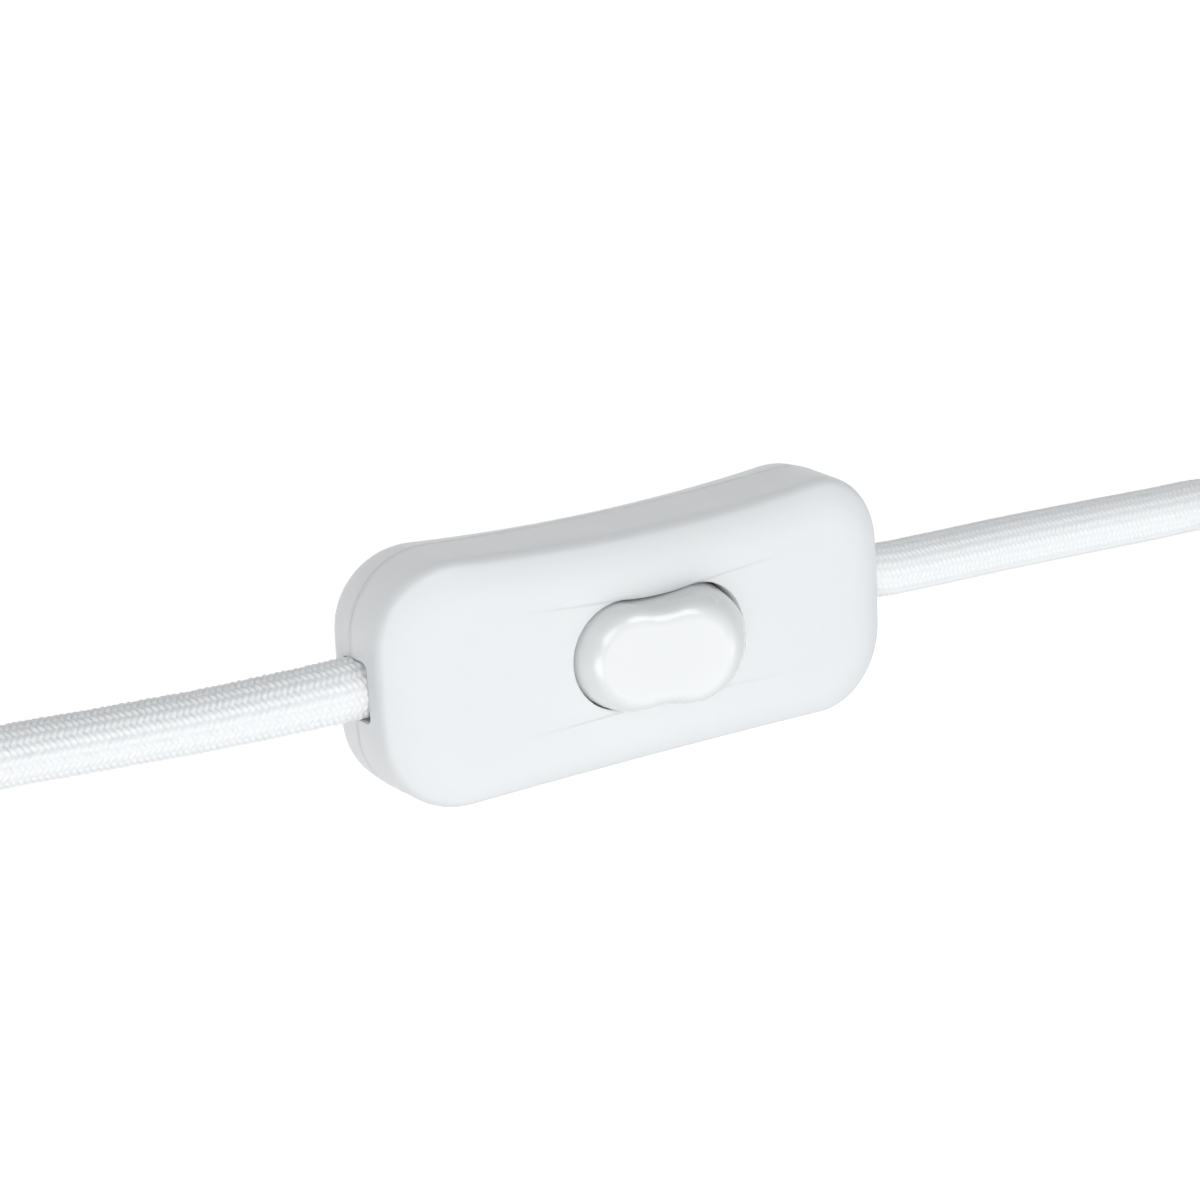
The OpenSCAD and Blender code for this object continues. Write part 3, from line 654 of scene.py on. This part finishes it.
def make_back_cover():
    """The back shell: flat back, rounded edge, drawn-in waist and the lip inside the front."""
    rings = [back_ring(BACK_R * (1 - math.sin(a)), BACK_R * (1 - math.cos(a)))
             for a in np.linspace(math.pi / 2, 0, 15)]
    rings += [back_ring(z, 0) for z in np.linspace(BACK_R, SPLIT_Z - SEAM, 5)[1:]]
    rings += [back_ring(SPLIT_Z - 0.4 * SEAM, 0.4 * SEAM), back_ring(SPLIT_Z, SEAM)]
    rings += [back_ring(SPLIT_Z, LIP_OUT), back_ring(SPLIT_Z + LIP_H - 0.2, LIP_OUT),
              back_ring(SPLIT_Z + LIP_H, WALL + 0.35), back_ring(SPLIT_Z + LIP_H, LIP_IN),
              back_ring(SPLIT_Z, LIP_IN), back_ring(WALL, WALL + 1.4)]
    shell = make_mesh("back_shell", *loft(rings))
    tools = []
    for side in (-1, 1):
        start = 28 if side > 0 else -36
        tools.append(moved(rod(NOTCH_W / 2, 8, 64), start, 0, SPLIT_Z, ALONG_X))
        tools.append(solid_box((start, -NOTCH_W / 2, SPLIT_Z), (start + 8, NOTCH_W / 2, SPLIT_Z + 3)))
        sink = revolve([(AXIS_R, -0.5), (2.9, -0.5), (2.9, 0), (1.4, 1.5), (1.4, 4), (AXIS_R, 4)])
        tools.append(moved(sink, side * SCREW_X, side * SCREW_Y))
    cut(shell, *tools)
    mark_sharp(shell, 38)
    finish_piece(shell, "white_shell", "housing", "back_cover")

    base_z = 1.5
    post_z = SPLIT_Z + CORD_D_RIGHT / 2 - 0.2
    clamp_post = revolve([(1.0, base_z), (2.0, base_z), (2.0, post_z), (1.0, post_z)])
    screw_post = revolve([(1.4, base_z), (BOSS_R, base_z), (BOSS_R, SPLIT_Z), (1.4, SPLIT_Z)])
    posts = [moved(clamp_post, CLAMP_X * sx, CLAMP_Y * sy) for sx in (-1, 1) for sy in (-1, 1)]
    posts += [moved(screw_post, side * SCREW_X, side * SCREW_Y) for side in (-1, 1)]
    pillars = make_mesh("back_cover_posts", *join(*posts), sharp_angle=38)
    finish_piece(pillars, "white_shell", "housing")


def rocker_ring(z, inset):
    """Outline of the rocker at height z over its pivot; the end walls follow an arc round it."""
    side = ROCKER_SIDE_GAP + inset
    half = min(OPENING["l"] / 2 - ROCKER_GAP - inset, math.sqrt(ROCKER_END_R ** 2 - z * z) - 0.4 * inset)
    flat = waisted(2 * half, OPENING["w"] - 2 * side, OPENING["flare"], OPENING["r"] - side,
                   OPENING["bulge"], steps=(6, 30, 20))
    return np.column_stack([flat, np.full(len(flat), z)])


def make_rocker():
    """The rocker's hollow cap, its stem and its two pivot pins, tilted as they rest."""
    wall_top = ROCKER_TOP - ROCKER_EDGE_R
    rings = [rocker_ring(z, 0) for z in np.linspace(ROCKER_BOTTOM, wall_top, 14)[:-1]]
    rings += [rocker_ring(wall_top + ROCKER_EDGE_R * math.sin(a), ROCKER_EDGE_R * (1 - math.cos(a)))
              for a in np.linspace(0, math.pi / 2, 15)]
    hollow = [rocker_ring(z, 1.3) for z in (4.0, ROCKER_BOTTOM)]
    cap = loft(hollow + rings)
    stem = revolve([(1.5, -5), (2.2, -5), (2.2, 5), (1.5, 5)])
    pins = [moved(rod(1.2, 4.3), 0, y, 0, ALONG_Y) for y in (-8.25, 3.95)]
    tilt = Matrix.Rotation(-ROCKER_TILT, 3, "Y")
    solid = moved(join(cap, stem, *pins), z=PIVOT_Z, turn=tilt)
    rocker = make_mesh("rocker_cap", *solid, sharp_angle=40)
    finish_piece(rocker, "white_rocker", "rocker", "rocker")


# ---------------------------------------------------------------- cords

def hank_points(hank, d, side):
    """Centre line of a hank: side -1 goes out along -X, turning left at each end.
    It starts at the near end on the first layer and stops at the near end of the layer above
    the last."""
    near, far, fold = hank["near"], hank["far"], hank["fold"]
    layer_z = [STRAP_T + d * (k + 0.5) for k in range(hank["layers"] + 1)]
    points = []
    for k in range(hank["layers"]):
        z = layer_z[k]
        straight = np.linspace(0, 1, 14)[:-1]
        bends = np.linspace(-math.pi / 2, math.pi / 2, 19)[:-1]
        out_y = -side * fold
        points += [(near + (far - near) * t, out_y, z) for t in straight]
        points += [(far + side * fold * math.cos(a), side * fold * math.sin(a), z) for a in bends]
        points += [(far + (near - far) * t, -out_y, z + d * (3 - 2 * t) * t * t) for t in straight]
        points += [(near - side * fold * math.cos(a), -side * fold * math.sin(a), z + d) for a in bends]
    return points


def smooth_path(points):
    """Catmull-Rom line through points, about PATH_STEP between samples."""
    p = np.array(points, dtype=float)
    p = np.concatenate([[2 * p[0] - p[1]], p, [2 * p[-1] - p[-2]]])
    line = []
    for a, b, c, d in zip(p, p[1:], p[2:], p[3:]):
        n = max(2, int(np.linalg.norm(c - b) / PATH_STEP))
        t = (np.arange(n) / n)[:, None]
        line.append(0.5 * (2 * b + (c - a) * t + (2 * a - 5 * b + 4 * c - d) * t ** 2
                           + (3 * b - a - 3 * c + d) * t ** 3))
    return np.concatenate(line + [p[-2:-1]])


def swept(path, stations, radius, sides):
    """Rings of a tube at stations along a path, turned with as little twist as possible.
    radius is a number or a function of station and angle."""
    steps = np.linalg.norm(np.diff(path, axis=0), axis=1)
    run = np.concatenate([[0], np.cumsum(steps)])
    centre = np.column_stack([np.interp(stations, run, path[:, k]) for k in range(3)])
    ahead = np.column_stack([np.interp(stations + 0.4, run, path[:, k]) for k in range(3)])
    behind = np.column_stack([np.interp(stations - 0.4, run, path[:, k]) for k in range(3)])
    tangent = ahead - behind
    tangent /= np.linalg.norm(tangent, axis=1)[:, None]
    normal = np.array([0.0, 0.0, 1.0])
    angles = 2 * math.pi * np.arange(sides) / sides
    rings = []
    for station, c, t in zip(stations, centre, tangent):
        normal = normal - t * (normal @ t)
        normal /= np.linalg.norm(normal)
        binormal = np.cross(t, normal)
        r = radius(station, angles) if callable(radius) else np.full(sides, radius)
        outward = np.cos(angles)[:, None] * normal + np.sin(angles)[:, None] * binormal
        rings.append(c + r[:, None] * outward)
    return rings


def tube_solid(rings):
    """Points and faces of a tube with flat ends."""
    n = len(rings[0])
    points = np.concatenate(rings)
    faces = [(k * n + i, k * n + (i + 1) % n, (k + 1) * n + (i + 1) % n, (k + 1) * n + i)
             for k in range(len(rings) - 1) for i in range(n)]
    last = (len(rings) - 1) * n
    return points, faces + [tuple(range(n))[::-1], tuple(range(last, last + n))]


def path_length(path):
    """Length of a line of points."""
    return np.linalg.norm(np.diff(path, axis=0), axis=1).sum()


def plain_tube(name, points, radius, slot, node):
    """Smooth tube that stands for a node."""
    step, sides = 0.7, 28
    path = smooth_path(points)
    length = path_length(path)
    rings = swept(path, np.linspace(0, length, max(3, int(length / step))), radius, sides)
    piece = make_mesh(name, *tube_solid(rings), sharp_angle=50)
    return finish_piece(piece, slot, "housing", node)


def braid_relief(station, angles, fluff):
    """Height of the braid, 0 to 1: leaning stitches in rows whose lean alternates."""
    row = angles * BRAID_ROWS / (2 * math.pi)
    across = row % 1 - 0.5
    sign = 1 - 2 * (np.floor(row) % 2)
    phase = station / BRAID_STITCH + sign * across * BRAID_SLANT + sign / 4
    bead = np.abs(np.sin(math.pi * phase)) ** 0.7
    rib = np.abs(np.cos(math.pi * across))
    jitter = np.sin(12.9898 * np.floor(phase) + 78.233 * np.floor(row)) * 43758.5453 % 1
    return bead * (0.3 + 0.7 * rib) * (1 - fluff * jitter)


def braided_cord(name, points, d, fine_length, relief, fluff, swell):
    """The cord's textile skin: every stitch is modelled over fine_length, and the rest, which is
    in the hank, has the same stitches in its material. The braid gives a little between the
    switch and the hank: swell is how much wider it gets half-way."""
    sides = 96
    fine_step, plain_step, blend_length = 0.1, 1.3, 4.0
    path = smooth_path(points)
    length = path_length(path)
    stations = np.concatenate([np.arange(0, fine_length, fine_step),
                               np.arange(fine_length, length, plain_step), [length]])

    def radius(station, angles):
        fade = min(1.0, max(0.0, (fine_length - station) / blend_length))
        height = braid_relief(station, angles, fluff)
        girth = 1 + swell * math.sin(math.pi * min(1.0, max(0.0, (station - 6) / 84)))
        return d / 2 * girth + relief * fade * (height - 0.6)

    rings = swept(path, stations, radius, sides)
    points_out, faces = tube_solid(rings)
    piece = make_mesh(name, points_out, faces, sharp_angle=80)
    mesh = piece.data
    coarse = mesh.attributes.new("coarse", "FLOAT", "POINT")
    fade = np.clip((stations - fine_length + blend_length) / blend_length, 0, 1)
    coarse.data.foreach_set("value", np.repeat(fade, sides))
    uv = mesh.uv_layers.new(name="braid")
    corner_points = np.zeros(len(mesh.loops), dtype=int)
    mesh.loops.foreach_get("vertex_index", corner_points)
    ring, place = np.divmod(corner_points, sides)
    starts = np.zeros(len(mesh.polygons), dtype=int)
    totals = np.zeros(len(mesh.polygons), dtype=int)
    mesh.polygons.foreach_get("loop_start", starts)
    mesh.polygons.foreach_get("loop_total", totals)
    face_of = np.repeat(np.arange(len(starts)), totals)
    wraps = np.zeros(len(starts), dtype=bool)
    np.logical_or.at(wraps, face_of, place == sides - 1)
    place = np.where(wraps[face_of] & (place == 0), sides, place)
    values = np.column_stack([stations[ring], place * BRAID_ROWS / sides])
    uv.data.foreach_set("uv", values.ravel())
    return finish_piece(piece, "white_braid", "housing"), path, length


def make_left_cord():
    """The cord to the plug: its run from the switch, its hank and the stretch up to the plug."""
    d = CORD_D_LEFT
    hank = hank_points(LEFT_HANK, d, -1)
    top_z = STRAP_T + d * (LEFT_HANK["layers"] + 0.5)
    points = LEFT_ROUTE + hank + [(LEFT_HANK["near"], LEFT_HANK["fold"], top_z)] + PLUG_ROUTE
    points += [(PLUG_X, 0, PLUG_Z)]
    cord, path, length = braided_cord("cord_to_plug", points, d, 62, 0.3, 0.35, -0.07)
    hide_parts("cord_left", "cord_left_hank", "cord_left_to_plug")
    return cord, path, length


def make_right_cord():
    """The cord to the lamp: its run from the switch, its hank, then once more out and round to
    its collar."""
    d = CORD_D_RIGHT
    hank = hank_points(RIGHT_HANK, d, 1)
    near, far, fold = RIGHT_HANK["near"], RIGHT_HANK["far"], RIGHT_HANK["fold"]
    z = STRAP_T + d * (RIGHT_HANK["layers"] + 0.5)
    points = RIGHT_ROUTE + hank
    points += [(near + (far - near) * t, -fold, z) for t in np.linspace(0, 1, 14)[:-1]]
    points += [(far + fold * math.cos(a), fold * math.sin(a), z)
               for a in np.linspace(-math.pi / 2, math.pi / 2, 19)]
    points += COLLAR[:2]
    cord, path, length = braided_cord("cord_to_lamp", points, d, 74, 0.18, 0.15, 0.03)
    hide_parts("cord_right", "cord_right_hank")
    return cord, path, length


# ---------------------------------------------------------------- what is on the cords

def strap(name, x0, width, half_y, top_z, node):
    """Woven strap round a hank, with rounded corners and its end overlapping on top."""
    r = 2.2
    corners = [(half_y - r, r, -90), (half_y - r, top_z - r, 0), (-half_y + r, top_z - r, 90),
               (-half_y + r, r, 180)]
    inner, outer = [], []
    for y, z, start in corners:
        for i in range(9):
            a = math.radians(start + i * 11.25)
            inner.append((y + r * math.cos(a), z + r * math.sin(a) + STRAP_T))
            outer.append((y + (r + STRAP_T) * math.cos(a), z + (r + STRAP_T) * math.sin(a) + STRAP_T))
    edge = 0.15
    left, right = x0 + edge, x0 + width - edge
    stack = []
    for x, loop in ((x0, inner), (x0 + width, inner), (right, outer), (left, outer)):
        stack.append([(x, y, z) for y, z in loop])
    solid = loft(stack, capped=False)
    over_z = top_z + 2 * STRAP_T
    overlap = solid_box((left, -6, over_z - 0.05), (right, 9, over_z + 0.25))
    piece = make_mesh(name, *join(solid, overlap), sharp_angle=40)
    return finish_piece(piece, "tie_plastic", "housing", node)


def make_plug():
    """Flat plug body with finger ribs, and a ribbed strain relief. s runs from the pins' face to
    the tail; its outline is a superellipse that narrows towards the tail."""
    front_l, tail_l = 0.8, 2.4
    tail_s = PLUG_L - tail_l
    ribs_start, ribs_end, rib_pitch = 12, 27, 2.4
    square = 0.62
    tail = PLUG_L - tail_l * (1 - np.sin(np.linspace(0.2, 1.57, 8)))
    rings = []
    for s in np.concatenate([[0, 0.25, front_l], np.linspace(1.6, tail_s, 60), tail]):
        front_share = max(0.0, 1 - s / front_l)
        tail_share = max(0.0, (s - PLUG_L + tail_l) / tail_l)
        rounding = 0.5 * front_share + 2.2 * (1 - math.sqrt(max(0.0, 1 - tail_share ** 2)))
        half_y = PLUG_W / 2 - 9.5 * (s / PLUG_L) ** 2 - rounding
        half_z = PLUG_H / 2 - 0.9 * (s / PLUG_L) ** 2 - rounding
        rib = 0.0
        if ribs_start < s < ribs_end:
            rib = 0.35 * max(0.0, math.sin((s - ribs_start) / rib_pitch * 2 * math.pi))
        ring = []
        for i in range(96):
            a = 2 * math.pi * i / 96
            y = math.copysign(abs(math.cos(a)) ** square, math.cos(a)) * half_y
            z = math.copysign(abs(math.sin(a)) ** square, math.sin(a)) * half_z
            dent = rib * max(0.0, 1 - abs(y) / (0.8 * half_y)) ** 0.3 * abs(z) / half_z
            ring.append((PLUG_X - PLUG_L + s, y, PLUG_Z + z - math.copysign(dent, z)))
        rings.append(ring)
    plug = make_mesh("plug_shell", *tube_solid([np.array(r) for r in rings]), sharp_angle=50)
    cut(plug, *[moved(rod(SLEEVE_R + 0.02, 9), PLUG_X - PLUG_L - 1, y, PLUG_Z, ALONG_X)
                for y in (-PIN_PITCH / 2, PIN_PITCH / 2)])
    mark_sharp(plug, 50)
    finish_piece(plug, "plug_plastic", "housing", "plug_body")

    bore = CORD_D_LEFT / 2 + 0.05
    profile = [(bore, -0.5), (5.6, -0.5)]
    for i in range(6):
        z = 0.6 + 4.2 * i
        r = 5.55 - 1.3 * z / RELIEF_L
        profile += [(r, z), (r, z + 2.6), (r - 0.15, z + 2.85)]
        profile += [(bore + 0.75, z + 2.95), (bore + 0.7, z + 3.9), (r - 0.2, z + 4.0)]
    profile = profile[:-1] + [(bore + 0.5, RELIEF_L), (bore, RELIEF_L)]
    sleeve = moved(revolve(profile, 56), PLUG_X, 0, PLUG_Z, ALONG_X)
    relief = make_mesh("plug_relief", *sleeve, sharp_angle=40)
    return plug, finish_piece(relief, "plug_plastic", "housing", "plug_strain_relief")


def make_lamp_end():
    """Heat-shrunk collar and the two insulated tails beyond it."""
    path = smooth_path(COLLAR)
    length = path_length(path)

    def shrunk(station, angles):
        end = max(0.0, (station - length + 2.6) / 2.6)
        ripple = 0.04 * np.sin(7 * angles + station) * np.sin(1.9 * station)
        return (CORD_D_RIGHT / 2 + 0.25) * (1 - 0.28 * end ** 2) + ripple

    rings = swept(path, np.linspace(0, length, 46), shrunk, 56)
    collar = finish_piece(make_mesh("collar_sleeve_skin", *tube_solid(rings), sharp_angle=60),
                          "collar_sleeve", "housing", "cord_end_collar")
    pieces = [collar]
    y = COLLAR[-1][1]
    for side, tint in ((1, "brown"), (-1, "blue")):
        points = [(x, y + side * apart, z) for x, apart, z in TAIL]
        pieces.append(plain_tube(tint + "_tail_skin", points, CORE_R, tint + "_insulation", tint + "_tail"))
    return pieces


def make_inner_cores():
    """The insulated cores inside the switch."""
    for end, side in (("left", -1), ("right", 1)):
        for tint, y0, x1, y1 in (("brown", 1.4, 16.5, 3.6), ("blue", -1.4, 6.0, -6.2)):
            points = [(23.5, y0, SPLIT_Z), (21.5, y0, SPLIT_Z), ((23.5 + x1) / 2, (y0 + y1) / 2, 5.25),
                      (x1 + 1.5, y1, 4.4), (x1, y1, 4.4)]
            plain_tube(f"{tint}_core_{end}_skin", [(side * x, y, z) for x, y, z in points],
                       CORE_R, tint + "_insulation", f"{tint}_core_{end}")


def dress_cad_nodes():
    """Gives every CAD node that stays its material."""
    slots = {part["node"]: part["material_slot"] for part in frame["record"]["subparts"]}
    for node, piece in frame["nodes"].items():
        piece.data.materials.clear()
        piece.data.materials.append(MATERIALS[slots[node]])


make_camera()
make_stage()
dress_cad_nodes()
left_cord, left_path, left_length = make_left_cord()
right_cord, right_path, right_length = make_right_cord()
make_front_cover()
make_back_cover()
make_rocker()
make_inner_cores()
left_strap = strap("left_strap", -200, 8, LEFT_HANK["fold"] + CORD_D_LEFT / 2,
                   3 * CORD_D_LEFT + 0.5, "hank_tie_left")
right_strap = strap("right_strap", 165, 6, RIGHT_HANK["fold"] + CORD_D_RIGHT / 2,
                    3 * CORD_D_RIGHT + 0.4, "hank_tie_right")
plug, relief = make_plug()
lamp_end = make_lamp_end()
